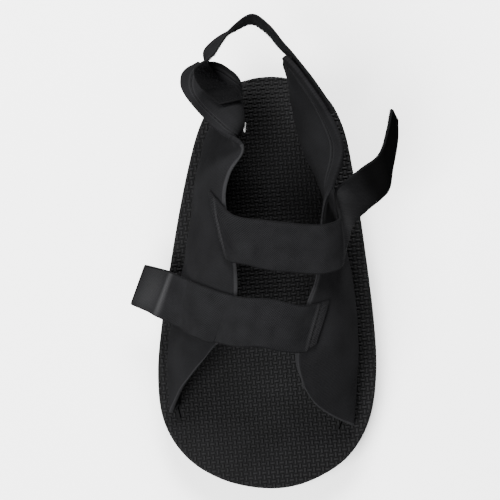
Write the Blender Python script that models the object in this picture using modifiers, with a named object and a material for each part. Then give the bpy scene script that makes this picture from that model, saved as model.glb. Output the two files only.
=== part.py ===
"""Post operative shoe: a two-layer EVA sole, one soft upper that comes up through slits in it, and three straps.

The toe points to -Y and the heel to +Y, with +Z up and the left panel at -X. The shoe stands on the
underside of its outsole at Z = 0, and the origin is the middle of the sole there.
Tables hold shares of the named sizes: "along" is a share of SOLE_LENGTH from the toe, "side" a share of
half of BALL_WIDTH, and "up" a share of PANEL_HEIGHT above the footbed.
"""

import math

import bmesh
import bpy
from mathutils import Vector

# Sole
SOLE_LENGTH = 0.240
BALL_WIDTH = 0.1275
FOREFOOT_THICKNESS = 0.018
HEEL_THICKNESS = 0.026
FOOTBED_THICKNESS = 0.008
TOE_SPRING = 0.006
HEEL_BEVEL = 0.004
SOLE_EDGE_RADIUS = 0.0015
TREAD_PITCH = 0.016
TREAD_GROOVE_WIDTH = 0.004
TREAD_GROOVE_DEPTH = 0.0015

# Upper
WALL = 0.0025
PANEL_HEIGHT = 0.060
LEFT_SLIT_INSET = 0.0105
RIGHT_SLIT_INSET = 0.0155
SLIT_CUT = 0.0008
SLIT_END_ROOM = 0.0012
ROOT_RISE = 0.0028

# Straps
STRAP_WIDTH = 0.0265
STRAP_THICKNESS = 0.0016

# Room left between pieces that meet, and a little more where a soft piece only lies on another
GAP = 0.0003
LAY_GAP = 0.0008

# How finely the soft pieces are divided
STEPS_BETWEEN_SECTIONS = 3
STEPS_BETWEEN_PANEL_POINTS = 3
STRAP_POINTS_ACROSS = 5
STEPS_BETWEEN_STRAP_ROWS = 4
SOLE_SECTIONS = 40
BARE_SLIT_STEPS = 3
WEB_STEPS = 6

# Outline of the sole: along, half width and how far its middle lies to the right, both as side shares
SOLE_OUTLINE = (
    (0.000, 0.000, 0.020),
    (0.022, 0.417, -0.022),
    (0.078, 0.742, -0.029),
    (0.165, 0.938, -0.034),
    (0.275, 0.998, -0.028),
    (0.406, 0.970, -0.020),
    (0.584, 0.879, -0.014),
    (0.766, 0.762, -0.005),
    (0.886, 0.645, 0.004),
    (0.964, 0.451, 0.002),
    (1.000, 0.000, 0.000),
)

# Rise of the footbed from forefoot to heel: along, share of the difference between the two thicknesses
WEDGE = ((0.00, 0.0), (0.42, 0.0), (0.62, 0.42), (0.84, 1.0), (1.00, 1.0))

# Underside: where the toe starts to lift and where the heel's bevel starts
TOE_LIFT_ENDS = 0.20
HEEL_BEVEL_STARTS = 0.93

# The slits that the panels come up through, from their fronts to their common back
LEFT_SLIT_FRONT = 0.163
RIGHT_SLIT_FRONT = 0.140
SLIT_BACK = 0.912

# Each row is one section of a panel, from its front edge to the back of its ear. The first number is where
# it leaves the slit, and then come the points that its middle layer passes, each as along, side and up.
#  slit    belly                   shoulder                flap                    rim
LEFT_SECTIONS = (
    (0.203, (0.188, -0.950, 0.12), (0.245, -0.810, 0.34), (0.295, -0.640, 0.53), (0.344, -0.480, 0.67)),
    (0.270, (0.285, -0.972, 0.16), (0.325, -0.820, 0.45), (0.360, -0.620, 0.64), (0.395, -0.400, 0.74)),
    (0.400, (0.410, -0.925, 0.17), (0.425, -0.770, 0.48), (0.435, -0.570, 0.68), (0.445, -0.320, 0.80)),
    (0.530, (0.530, -0.775, 0.18), (0.530, -0.670, 0.48), (0.530, -0.515, 0.69), (0.528, -0.325, 0.83)),
    (0.645, (0.648, -0.710, 0.17), (0.652, -0.650, 0.44), (0.658, -0.545, 0.67), (0.664, -0.414, 0.84)),
    (0.735, (0.737, -0.675, 0.15), (0.738, -0.630, 0.40), (0.736, -0.530, 0.64), (0.732, -0.385, 0.82)),
    (0.800, (0.806, -0.615, 0.15), (0.802, -0.520, 0.38), (0.799, -0.375, 0.62), (0.799, -0.262, 0.82)),
    (0.850, (0.858, -0.550, 0.14), (0.852, -0.285, 0.60), (0.850, -0.300, 0.78), (0.848, -0.505, 0.77)),
    (0.880, (0.888, -0.470, 0.14), (0.915, -0.275, 0.60), (0.920, -0.450, 0.74), (0.935, -0.775, 0.665)),
    (0.898, (0.902, -0.390, 0.14), (0.945, -0.300, 0.58), (1.008, -0.540, 0.70), (0.997, -0.775, 0.645)),
)
RIGHT_SECTIONS = (
    (0.168, (0.158, 0.740, 0.11), (0.178, 0.570, 0.25), (0.205, 0.410, 0.41), (0.245, 0.290, 0.57)),
    (0.270, (0.268, 0.790, 0.16), (0.280, 0.680, 0.46), (0.300, 0.480, 0.66), (0.318, 0.232, 0.75)),
    (0.400, (0.402, 0.765, 0.17), (0.410, 0.690, 0.46), (0.420, 0.540, 0.69), (0.430, 0.326, 0.81)),
    (0.530, (0.530, 0.705, 0.18), (0.525, 0.640, 0.46), (0.518, 0.535, 0.67), (0.508, 0.415, 0.83)),
    (0.645, (0.645, 0.615, 0.17), (0.645, 0.575, 0.44), (0.648, 0.510, 0.66), (0.654, 0.455, 0.86)),
    (0.720, (0.718, 0.560, 0.16), (0.716, 0.490, 0.45), (0.714, 0.440, 0.68), (0.708, 0.530, 0.90)),
    (0.790, (0.792, 0.500, 0.15), (0.796, 0.320, 0.50), (0.796, 0.350, 0.74), (0.782, 0.610, 0.98)),
    (0.845, (0.850, 0.440, 0.15), (0.870, 0.230, 0.52), (0.864, 0.290, 0.78), (0.845, 0.535, 1.04)),
    (0.880, (0.890, 0.370, 0.14), (0.930, 0.190, 0.56), (0.935, 0.225, 0.82), (0.925, 0.350, 1.08)),
    (0.898, (0.908, 0.320, 0.14), (0.960, 0.180, 0.60), (0.990, 0.120, 0.86), (1.008, 0.110, 1.10)),
)

# A strap is a list of rows along its length. Where it lies on a panel, a row gives the share of the way along
# the panel's sections and up from its root, for the strap's first edge and for its second. Where it is free,
# a row gives the middle of the strap as along, side and up, and its width's heading and tilt in degrees:
# heading 0 points to +X and 90 to +Y, and tilt lifts the second edge.
INSTEP_STITCHED_LEFT = (
    ((0.495, 0.81), (0.345, 0.93)),
    ((0.465, 0.91), (0.340, 0.97)),
)
INSTEP_OVER_THE_FOOT = (
    (0.580, -0.290, 0.98, -79, -6),
    (0.567, -0.048, 1.01, -91, -14),
    (0.561, 0.172, 1.01, -91, -15),
    (0.558, 0.366, 0.97, -91, -13),
    (0.561, 0.491, 0.94, -91, -10),
)
INSTEP_FREE_END = (
    (0.577, 0.604, 0.83, -89, -8),
    (0.620, 0.622, 0.66, -76, -28),
    (0.666, 0.655, 0.57, -60, -42),
    (0.695, 0.765, 0.57, -50, -46),
    (0.722, 0.895, 0.63, -52, -46),
    (0.741, 0.983, 0.73, -62, -50),
    (0.775, 1.022, 0.81, -60, -62),
    (0.827, 1.060, 0.89, -38, -72),
    (0.869, 1.072, 0.97, -27, -78),
)
FOREFOOT_STITCHED_RIGHT = (
    ((0.245, 0.83), (0.145, 0.87)),
    ((0.232, 0.92), (0.125, 0.94)),
)
FOREFOOT_OVER_THE_FOOT = (
    (0.375, 0.175, 0.90, -112, -4),
    (0.387, -0.049, 0.95, -105, -4),
    (0.389, -0.265, 0.94, -99, -5),
)
FOREFOOT_OVER_THE_LEFT = (
    ((0.240, 0.95), (0.020, 0.98)),
    ((0.265, 0.77), (0.110, 0.75)),
    ((0.292, 0.50), (0.170, 0.54)),
)
FOREFOOT_FREE_TAB = (
    (0.464, -0.967, 0.34, -111, -18),
    (0.472, -1.032, 0.31, -113, -24),
    (0.486, -1.192, 0.32, -112, -33),
)
HEEL_PRESSED_LEFT = (
    ((0.855, 0.80), (0.880, 0.59)),
    ((0.905, 0.86), (0.922, 0.62)),
)
HEEL_LOOP = (
    (0.974, -0.500, 0.885, 0, -30),
    (1.016, -0.570, 0.885, 78, -75),
    (1.048, -0.479, 0.87, 113, -79),
    (1.078, -0.343, 0.87, 115, -84),
    (1.101, -0.182, 0.87, 100, -88),
    (1.078, -0.039, 0.87, 84, -88),
    (1.044, 0.072, 0.87, 84, -87),
    (1.004, 0.198, 0.87, -33, -83),
)
HEEL_STITCHED_RIGHT = (
    ((0.925, 1.05), (0.930, 0.68)),
    ((0.870, 1.04), (0.880, 0.68)),
    ((0.820, 1.03), (0.835, 0.68)),
)


# Working out places

def smooth_value(rows, place):
    """Value at place of the smooth curve through rows of (place, value)."""
    last = len(rows) - 1
    slopes = []
    for i in range(last + 1):
        before = rows[max(i - 1, 0)]
        after = rows[min(i + 1, last)]
        slopes.append((after[1] - before[1]) / (after[0] - before[0]))
    i = 0
    while i < last - 1 and place > rows[i + 1][0]:
        i += 1
    width = rows[i + 1][0] - rows[i][0]
    share = min(max((place - rows[i][0]) / width, 0.0), 1.0)
    square, cube = share**2, share**3
    return (
        (2 * cube - 3 * square + 1) * rows[i][1]
        + (cube - 2 * square + share) * width * slopes[i]
        + (3 * square - 2 * cube) * rows[i + 1][1]
        + (cube - square) * width * slopes[i + 1]
    )


def smooth_points(points, steps):
    """Points of the smooth curve through the given ones, with that many steps between each two."""
    last = len(points) - 1
    slopes = []
    for i in range(last + 1):
        reach = points[min(i + 1, last)] - points[max(i - 1, 0)]
        slopes.append(reach / (2 if 0 < i < last else 1))
    curve = []
    for i in range(last):
        for step in range(steps):
            share = step / steps
            square, cube = share**2, share**3
            curve.append(
                (2 * cube - 3 * square + 1) * points[i]
                + (cube - 2 * square + share) * slopes[i]
                + (3 * square - 2 * cube) * points[i + 1]
                + (cube - square) * slopes[i + 1]
            )
    curve.append(points[last].copy())
    return curve


def turn_of(along):
    """Angle whose cosine spreads places along the sole evenly round its two ends."""
    return math.acos(1 - 2 * min(max(along, 0.0), 1.0))


def place_of(along):
    """Y of a share along the sole."""
    return (along - 0.5) * SOLE_LENGTH


def sole_half_width(along):
    rows = [(turn_of(place), half) for place, half, middle in SOLE_OUTLINE]
    return smooth_value(rows, turn_of(along)) * BALL_WIDTH / 2


def sole_middle(along):
    """X of the line halfway between the sole's two edges."""
    rows = [(turn_of(place), middle) for place, half, middle in SOLE_OUTLINE]
    return smooth_value(rows, turn_of(along)) * BALL_WIDTH / 2


def footbed_top(along):
    rise = smooth_value(WEDGE, min(max(along, 0.0), 1.0))
    return FOREFOOT_THICKNESS + rise * (HEEL_THICKNESS - FOREFOOT_THICKNESS)


def footbed_underside(along):
    return footbed_top(along) - FOOTBED_THICKNESS


def outsole_top(along):
    return footbed_underside(along) - GAP


def outsole_underside(along):
    toe = max(TOE_LIFT_ENDS - along, 0.0) / TOE_LIFT_ENDS
    heel = max(along - HEEL_BEVEL_STARTS, 0.0) / (1 - HEEL_BEVEL_STARTS)
    return TOE_SPRING * toe**2 + HEEL_BEVEL * heel**2


def slit_side(side, along):
    """X of the slit on the left (side -1) or the right (side 1)."""
    inset = LEFT_SLIT_INSET if side < 0 else RIGHT_SLIT_INSET
    return sole_middle(along) + side * (sole_half_width(along) - inset)


def web_middle(along):
    """Z of the middle layer of the upper's web, which lies in the outsole's recess."""
    return outsole_top(along) - WALL / 2


def free_point(along, side, up):
    """A point given as shares: up counts from the footbed where the point stands."""
    return Vector((side * BALL_WIDTH / 2, place_of(along), footbed_top(along) + up * PANEL_HEIGHT))


def panel_section(row, side):
    """Points of one panel section's middle layer, from its root just above the slit to its rim."""
    slit = row[0]
    root_side = slit_side(side, slit)
    root = Vector((root_side, place_of(slit), footbed_top(slit) + ROOT_RISE))
    controls = [root] + [free_point(*point) for point in row[1:]]
    return smooth_points(controls, STEPS_BETWEEN_PANEL_POINTS)


def panel_grid(side):
    """The panel's middle layer as sections from front to back, each from root to rim."""
    table = LEFT_SECTIONS if side < 0 else RIGHT_SECTIONS
    sections = [panel_section(row, side) for row in table]
    lines = [smooth_points(list(line), STEPS_BETWEEN_SECTIONS) for line in zip(*sections)]
    return [list(section) for section in zip(*lines)]


def along_of(y):
    """Share along the sole of a place on it."""
    return y / SOLE_LENGTH + 0.5


def slit_path(grid):
    """Where the panel stands in its slit: the foot of each of its sections, seen from above."""
    return [Vector((section[0].x, section[0].y, 0)) for section in grid]


def lengthened(path, front, back):
    """The path with its first and last points moved on by those lengths."""
    path = [point.copy() for point in path]
    path[0] += (path[0] - path[1]).normalized() * front
    path[-1] += (path[-1] - path[-2]).normalized() * back
    return path


def grid_point(grid, across, up):
    """Point and outward normal at shares of a grid's sections and of the way from root to rim."""
    rows, columns = len(grid) - 1, len(grid[0]) - 1
    i = min(int(across * rows), rows - 1)
    j = min(int(up * columns), columns - 1)
    a, b = across * rows - i, up * columns - j
    along_low = grid[i + 1][j] - grid[i][j]
    up_low = grid[i][j + 1] - grid[i][j]
    up_high = grid[i + 1][j + 1] - grid[i + 1][j]
    point = grid[i][j] + a * along_low + b * ((1 - a) * up_low + a * up_high)
    normal = along_low.cross((1 - a) * up_low + a * up_high).normalized()
    return point, normal


# Building meshes

def new_material(name, colour, roughness):
    material = bpy.data.materials.new(name)
    material.use_nodes = True
    shader = material.node_tree.nodes["Principled BSDF"]
    shader.inputs["Base Color"].default_value = (*colour, 1.0)
    shader.inputs["Roughness"].default_value = roughness
    shader.inputs["Metallic"].default_value = 0.0
    return material


def mesh_object(name, collection, points, faces):
    mesh = bpy.data.meshes.new(name)
    mesh.from_pydata([tuple(point) for point in points], [], faces)
    shape = bmesh.new()
    shape.from_mesh(mesh)
    bmesh.ops.recalc_face_normals(shape, faces=shape.faces)
    shape.to_mesh(mesh)
    shape.free()
    thing = bpy.data.objects.new(name, mesh)
    collection.objects.link(thing)
    return thing


def loft(name, collection, sections):
    """A closed solid through rings that all have the same number of points."""
    count = len(sections[0])
    points = [point for section in sections for point in section]
    faces = [tuple(range(count)), tuple(range(len(points) - count, len(points)))]
    for i in range(len(sections) - 1):
        for j in range(count):
            near, far = i * count, (i + 1) * count
            nxt = (j + 1) % count
            faces.append((near + j, near + nxt, far + nxt, far + j))
    return mesh_object(name, collection, points, faces)


def sheet(name, collection, rows, thickness):
    """A layer of that thickness whose middle passes through a grid of points."""
    count = len(rows[0])
    points = [point for row in rows for point in row]
    faces = []
    for i in range(len(rows) - 1):
        for j in range(count - 1):
            corner = i * count + j
            faces.append((corner, corner + 1, corner + count + 1, corner + count))
    thing = mesh_object(name, collection, points, faces)
    solidify = thing.modifiers.new("Thickness", "SOLIDIFY")
    solidify.thickness = thickness
    solidify.offset = 0
    solidify.use_even_offset = True
    return thing


def cut(thing, cutter):
    cutter.hide_render = True
    cutter.display_type = "WIRE"
    modifier = thing.modifiers.new("Cut by " + cutter.name, "BOOLEAN")
    modifier.operation = "DIFFERENCE"
    modifier.solver = "EXACT"
    modifier.object = cutter


def finish(thing, material):
    thing.data.materials.append(material)
    thing.data.shade_smooth()
    return thing


# The pieces

def sole_places():
    """Shares along the sole of its sections, closer together round the toe and the heel."""
    first = 0.03
    turns = [first + (math.pi - 2 * first) * i / (SOLE_SECTIONS - 1) for i in range(SOLE_SECTIONS)]
    return [(1 - math.cos(turn)) / 2 for turn in turns]


def sole_ring(along, low, high, low_radius, high_radius):
    """Cross-section of a sole layer with its lower and upper edges eased."""
    half = sole_half_width(along)
    y = place_of(along)
    profile = (
        (half - low_radius, low),
        (half, low + low_radius),
        (half, high - high_radius),
        (half - 0.3 * high_radius, high - 0.3 * high_radius),
        (half - high_radius, high),
    )
    middle = sole_middle(along)
    right = [Vector((middle + out, y, z)) for out, z in profile]
    left = [Vector((middle - out, y, z)) for out, z in reversed(profile)]
    return right + left


def slit_cutter(name, path, width, collection):
    """A thin wall along a stretch of one slit, standing through the footbed."""
    rows = []
    for point in path:
        along = along_of(point.y)
        low, high = footbed_underside(along) - SOLE_EDGE_RADIUS, footbed_top(along) + SOLE_EDGE_RADIUS
        rows.append([Vector((point.x, point.y, low)), Vector((point.x, point.y, high))])
    return sheet(name, collection, rows, width)


def bare_slit(side, front, back):
    """A stretch of slit with no panel in it."""
    places = [front + (back - front) * i / BARE_SLIT_STEPS for i in range(BARE_SLIT_STEPS + 1)]
    return [Vector((slit_side(side, along), place_of(along), 0)) for along in places]


def make_footbed(parts, cutters, grids):
    rings = [
        sole_ring(along, footbed_underside(along), footbed_top(along), GAP, SOLE_EDGE_RADIUS)
        for along in sole_places()
    ]
    footbed = loft("footbed", parts, rings)
    for side, word, front in ((-1, "left", LEFT_SLIT_FRONT), (1, "right", RIGHT_SLIT_FRONT)):
        path = slit_path(grids[side])
        room = lengthened(path, SLIT_END_ROOM, SLIT_END_ROOM)
        before = bare_slit(side, front, along_of(path[0].y))
        behind = bare_slit(side, along_of(path[-1].y), SLIT_BACK)
        cut(footbed, slit_cutter(word + "_slit_cutter", room, WALL + 2 * GAP, cutters))
        cut(footbed, slit_cutter(word + "_front_cutter", before, SLIT_CUT, cutters))
        cut(footbed, slit_cutter(word + "_back_cutter", behind, SLIT_CUT, cutters))
    return finish(footbed, new_material("eva_footbed", (0.026, 0.026, 0.028), 0.75))


def recess_cutter(grids, collection):
    """The recess in the outsole's top that takes the web, with room round it."""
    margin = WALL / 2 + GAP
    paths = [lengthened(slit_path(grids[side]), SLIT_END_ROOM, SLIT_END_ROOM) for side in (-1, 1)]
    rings = []
    for left, right in zip(*paths):
        ring = []
        for point, out in ((left, -margin), (right, margin)):
            floor = outsole_top(along_of(point.y)) - WALL - GAP
            high = outsole_top(along_of(point.y)) + SOLE_EDGE_RADIUS
            ring += [Vector((point.x + out, point.y, floor)), Vector((point.x + out, point.y, high))]
        left_low, left_high, right_low, right_high = ring
        rings.append([left_low, right_low, right_high, left_high])
    return loft("web_recess_cutter", collection, rings)


def tread_cutter(collection):
    """Straight grooves across the underside, with a land under the middle of the sole."""
    shape = bmesh.new()
    count = int(SOLE_LENGTH / 2 / TREAD_PITCH)
    for i in range(-count, count):
        y = (i + 0.5) * TREAD_PITCH
        along = y / SOLE_LENGTH + 0.5
        if not 0.03 < along < 0.97:
            continue
        box = bmesh.ops.create_cube(shape, size=1)["verts"]
        depth = outsole_underside(along) + TREAD_GROOVE_DEPTH
        bmesh.ops.scale(shape, vec=(2 * BALL_WIDTH, TREAD_GROOVE_WIDTH, 2 * depth), verts=box)
        bmesh.ops.translate(shape, vec=(0, y, 0), verts=box)
    mesh = bpy.data.meshes.new("tread_cutter")
    shape.to_mesh(mesh)
    shape.free()
    thing = bpy.data.objects.new("tread_cutter", mesh)
    collection.objects.link(thing)
    return thing


def make_outsole(parts, cutters, grids):
    rings = [
        sole_ring(along, outsole_underside(along), outsole_top(along), SOLE_EDGE_RADIUS, GAP)
        for along in sole_places()
    ]
    outsole = loft("outsole", parts, rings)
    cut(outsole, recess_cutter(grids, cutters))
    cut(outsole, tread_cutter(cutters))
    return finish(outsole, new_material("eva_outsole", (0.022, 0.022, 0.024), 0.8))


def standing_points(section):
    """The panel's points inside its slit: the foot, level with the web, and the mouth of the slit."""
    root = section[0]
    along = along_of(root.y)
    foot = Vector((root.x, root.y, web_middle(along)))
    mouth = Vector((root.x, root.y, footbed_top(along)))
    return foot, mouth


def make_upper(parts, grids):
    """Both panels and the web between them as one layer, folded up at each slit."""
    rows = []
    for left, right in zip(grids[-1], grids[1]):
        left_foot, left_mouth = standing_points(left)
        right_foot, right_mouth = standing_points(right)
        web = []
        for i in range(WEB_STEPS + 1):
            point = left_foot.lerp(right_foot, i / WEB_STEPS)
            point.z = web_middle(along_of(point.y))
            web.append(point)
        rows.append(list(reversed(left)) + [left_mouth] + web + [right_mouth] + list(right))
    upper = sheet("upper", parts, rows, WALL)
    return finish(upper, new_material("laminated_foam_fabric", (0.02, 0.02, 0.022), 0.9))


def panel_row(grid, ends, lift):
    """Points across a strap that lies on a panel, with lift as the distance from the panel's middle layer."""
    row = []
    for i in range(STRAP_POINTS_ACROSS):
        share = i / (STRAP_POINTS_ACROSS - 1)
        across = ends[0][0] + share * (ends[1][0] - ends[0][0])
        up = ends[0][1] + share * (ends[1][1] - ends[0][1])
        point, normal = grid_point(grid, across, up)
        row.append(point + lift * normal)
    return row


def free_row(along, side, up, heading, tilt):
    """Points of a strap row in the open, from its first edge to its second."""
    turn, lean = math.radians(heading), math.radians(tilt)
    width = Vector((math.cos(lean) * math.cos(turn), math.cos(lean) * math.sin(turn), math.sin(lean)))
    middle = free_point(along, side, up)
    row = []
    for i in range(STRAP_POINTS_ACROSS):
        share = i / (STRAP_POINTS_ACROSS - 1) - 0.5
        row.append(middle + share * STRAP_WIDTH * width)
    return row


def between(ends, next_ends, share):
    """Both edges' places on a panel, that share of the way from one row to the next."""
    return [
        tuple(low + share * (high - low) for low, high in zip(edge, next_edge))
        for edge, next_edge in zip(ends, next_ends)
    ]


def make_strap(name, parts, stretches):
    """A strap through its stretches: free ones have no grid, and the others lie on a panel with a lift."""
    controls = []
    for grid, lift, table in stretches:
        for row in table:
            points = free_row(*row) if grid is None else panel_row(grid, row, lift)
            controls.append(points)
    lines = [smooth_points(list(line), STEPS_BETWEEN_STRAP_ROWS) for line in zip(*controls)]
    rows = [list(row) for row in zip(*lines)]
    first = 0
    for grid, lift, table in stretches:
        for i in range(len(table) - 1):
            for step in range(1, STEPS_BETWEEN_STRAP_ROWS):
                if grid is not None:
                    ends = between(table[i], table[i + 1], step / STEPS_BETWEEN_STRAP_ROWS)
                    rows[(first + i) * STEPS_BETWEEN_STRAP_ROWS + step] = panel_row(grid, ends, lift)
        first += len(table)
    strap = sheet(name, parts, rows, STRAP_THICKNESS)
    return finish(strap, new_material(name + "_webbing", (0.024, 0.024, 0.026), 0.85))


def build():
    for thing in list(bpy.data.objects):
        bpy.data.objects.remove(thing)
    scene = bpy.context.scene
    parts = bpy.data.collections.new("post_operative_shoe")
    cutters = bpy.data.collections.new("cutters")
    scene.collection.children.link(parts)
    scene.collection.children.link(cutters)

    grids = {side: panel_grid(side) for side in (-1, 1)}
    left, right = grids[-1], grids[1]
    make_outsole(parts, cutters, grids)
    make_footbed(parts, cutters, grids)
    make_upper(parts, grids)

    # Lifts count along the normal of the panel's grid, which points inwards on the left and outwards on the right
    seat = (WALL + STRAP_THICKNESS) / 2
    stitched, laid = seat + GAP, seat + LAY_GAP
    make_strap("instep_strap", parts, (
        (left, -stitched, INSTEP_STITCHED_LEFT),
        (None, 0, INSTEP_OVER_THE_FOOT + INSTEP_FREE_END),
    ))
    make_strap("forefoot_strap", parts, (
        (right, stitched, FOREFOOT_STITCHED_RIGHT),
        (None, 0, FOREFOOT_OVER_THE_FOOT),
        (left, -laid, FOREFOOT_OVER_THE_LEFT),
        (None, 0, FOREFOOT_FREE_TAB),
    ))
    make_strap("heel_strap", parts, (
        (left, laid, HEEL_PRESSED_LEFT),
        (None, 0, HEEL_LOOP),
        (right, stitched, HEEL_STITCHED_RIGHT),
    ))


build()
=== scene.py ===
"""The looks of a post operative shoe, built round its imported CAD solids.

The toe points to -Y and the heel to +Y, and the left panel is at -X. Lengths are in metres.
Tables hold shares of the shoe's own sizes: "along" is a share of SOLE_LENGTH from the toe, "side" a share
of half of BALL_WIDTH, and "up" a share of PANEL_HEIGHT above the footbed. They are the same as in the
solids, except that the soft left ear and the panels' lower bulge lie up to 4 mm off them, and an edge of the
heel strap's first free rows up to 8 mm.
"""

import math
import random

import bmesh
import bpy
import numpy as np
from mathutils import Matrix, Vector


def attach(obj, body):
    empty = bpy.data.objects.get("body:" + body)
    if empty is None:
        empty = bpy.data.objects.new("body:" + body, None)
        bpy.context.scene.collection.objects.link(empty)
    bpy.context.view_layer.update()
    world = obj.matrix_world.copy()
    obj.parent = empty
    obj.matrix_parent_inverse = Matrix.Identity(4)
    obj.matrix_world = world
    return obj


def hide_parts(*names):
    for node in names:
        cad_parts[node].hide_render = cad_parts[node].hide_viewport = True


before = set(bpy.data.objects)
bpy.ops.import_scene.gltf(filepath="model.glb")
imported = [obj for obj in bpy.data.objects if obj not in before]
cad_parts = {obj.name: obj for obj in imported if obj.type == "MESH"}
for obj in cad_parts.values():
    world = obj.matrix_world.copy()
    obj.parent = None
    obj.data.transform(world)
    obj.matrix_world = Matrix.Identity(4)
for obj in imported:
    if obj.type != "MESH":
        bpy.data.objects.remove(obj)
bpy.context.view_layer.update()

MM = 0.001

# Sole
SOLE_LENGTH = 0.240
BALL_WIDTH = 0.1275
FOREFOOT_THICKNESS = 0.018
HEEL_THICKNESS = 0.026
FOOTBED_THICKNESS = 0.008
TOE_SPRING = 0.006
HEEL_BEVEL = 0.004
TREAD_PITCH = 0.016
TREAD_GROOVE_WIDTH = 0.004
TREAD_GROOVE_DEPTH = 0.0015
LAYER_GAP = 0.0003

# Upper and straps
WALL = 0.0025
PANEL_HEIGHT = 0.060
LEFT_SLIT_INSET = 0.0105
RIGHT_SLIT_INSET = 0.0155
ROOT_RISE = 0.0028
STRAP_WIDTH = 0.0265
STRAP_THICKNESS = 0.0016
STITCH_GAP = 0.0003
LAY_GAP = 0.0008

# How finely the pieces are divided
SECTION_STEPS = 16
PANEL_STEPS = 16
STRAP_POINTS = 19
STRAP_STEPS = 14
SOLE_SECTIONS = 150

# Outline of the sole: along, half width and how far its middle lies to the right
SOLE_OUTLINE = (
    (0.000, 0.000, 0.020),
    (0.022, 0.417, -0.022),
    (0.078, 0.742, -0.029),
    (0.165, 0.938, -0.034),
    (0.275, 0.998, -0.028),
    (0.406, 0.970, -0.020),
    (0.584, 0.879, -0.014),
    (0.766, 0.762, -0.005),
    (0.886, 0.645, 0.004),
    (0.964, 0.451, 0.002),
    (1.000, 0.000, 0.000),
)
WEDGE = ((0.00, 0.0), (0.42, 0.0), (0.62, 0.42), (0.84, 1.0), (1.00, 1.0))
TOE_LIFT_ENDS = 0.20
HEEL_BEVEL_STARTS = 0.93
LEFT_SLIT_FRONT = 0.163
RIGHT_SLIT_FRONT = 0.140
SLIT_BACK = 0.912

# Sections of the panels from the front to the back of the ear: where each leaves the slit, and where it passes
LEFT_SECTIONS = (
    (0.203, (0.188, -0.895, 0.12), (0.245, -0.790, 0.34), (0.295, -0.640, 0.53), (0.344, -0.480, 0.67)),
    (0.270, (0.285, -0.905, 0.16), (0.325, -0.795, 0.45), (0.360, -0.620, 0.64), (0.395, -0.400, 0.74)),
    (0.400, (0.410, -0.870, 0.17), (0.425, -0.755, 0.48), (0.435, -0.570, 0.68), (0.445, -0.320, 0.80)),
    (0.530, (0.530, -0.775, 0.18), (0.530, -0.670, 0.48), (0.530, -0.515, 0.69), (0.528, -0.325, 0.83)),
    (0.645, (0.648, -0.710, 0.17), (0.652, -0.650, 0.44), (0.658, -0.545, 0.67), (0.664, -0.414, 0.84)),
    (0.735, (0.737, -0.675, 0.15), (0.738, -0.630, 0.40), (0.736, -0.530, 0.64), (0.732, -0.385, 0.82)),
    (0.800, (0.806, -0.615, 0.15), (0.802, -0.520, 0.38), (0.799, -0.375, 0.62), (0.799, -0.262, 0.82)),
    (0.850, (0.858, -0.550, 0.14), (0.852, -0.285, 0.60), (0.850, -0.300, 0.78), (0.848, -0.505, 0.77)),
    (0.880, (0.888, -0.470, 0.14), (0.915, -0.275, 0.60), (0.920, -0.450, 0.74), (0.935, -0.775, 0.665)),
    (0.898, (0.902, -0.390, 0.14), (0.958, -0.292, 0.58), (1.002, -0.480, 0.69), (0.999, -0.775, 0.645)),
)
RIGHT_SECTIONS = (
    (0.168, (0.158, 0.740, 0.11), (0.178, 0.570, 0.25), (0.205, 0.410, 0.41), (0.245, 0.290, 0.57)),
    (0.270, (0.268, 0.770, 0.16), (0.280, 0.680, 0.46), (0.300, 0.480, 0.66), (0.318, 0.232, 0.75)),
    (0.400, (0.402, 0.765, 0.17), (0.410, 0.690, 0.46), (0.420, 0.540, 0.69), (0.430, 0.326, 0.81)),
    (0.530, (0.530, 0.705, 0.18), (0.525, 0.640, 0.46), (0.518, 0.535, 0.67), (0.508, 0.415, 0.83)),
    (0.645, (0.645, 0.615, 0.17), (0.645, 0.575, 0.44), (0.648, 0.510, 0.66), (0.654, 0.455, 0.86)),
    (0.720, (0.718, 0.560, 0.16), (0.716, 0.490, 0.45), (0.714, 0.440, 0.68), (0.708, 0.530, 0.90)),
    (0.790, (0.792, 0.500, 0.15), (0.796, 0.320, 0.50), (0.796, 0.350, 0.74), (0.782, 0.610, 0.98)),
    (0.845, (0.850, 0.440, 0.15), (0.870, 0.230, 0.52), (0.864, 0.290, 0.78), (0.845, 0.535, 1.04)),
    (0.880, (0.890, 0.370, 0.14), (0.930, 0.190, 0.56), (0.935, 0.225, 0.82), (0.925, 0.350, 1.08)),
    (0.898, (0.908, 0.320, 0.14), (0.960, 0.180, 0.60), (0.990, 0.120, 0.86), (1.008, 0.110, 1.10)),
)

# Straps: on a panel a row gives (across, up) for both edges; free rows give along, side, up, heading and tilt
INSTEP_STITCHED_LEFT = (
    ((0.495, 0.81), (0.345, 0.93)),
    ((0.465, 0.91), (0.340, 0.97)),
)
INSTEP_OVER_THE_FOOT = (
    (0.580, -0.290, 0.98, -79, -6),
    (0.567, -0.048, 1.01, -91, -14),
    (0.561, 0.172, 1.01, -91, -15),
    (0.558, 0.366, 0.97, -91, -13),
    (0.561, 0.491, 0.94, -91, -10),
)
INSTEP_FREE_END = (
    (0.577, 0.604, 0.83, -89, -8),
    (0.620, 0.622, 0.66, -76, -28),
    (0.666, 0.655, 0.57, -60, -42),
    (0.695, 0.765, 0.57, -50, -46),
    (0.722, 0.895, 0.63, -52, -46),
    (0.741, 0.983, 0.73, -62, -50),
    (0.775, 1.022, 0.81, -60, -62),
    (0.827, 1.060, 0.89, -38, -72),
    (0.869, 1.072, 0.97, -27, -78),
)
FOREFOOT_STITCHED_RIGHT = (
    ((0.245, 0.83), (0.145, 0.87)),
    ((0.232, 0.92), (0.125, 0.94)),
)
FOREFOOT_OVER_THE_FOOT = (
    (0.375, 0.175, 0.90, -112, -4),
    (0.387, -0.049, 0.95, -105, -4),
    (0.389, -0.265, 0.94, -99, -5),
)
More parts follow.
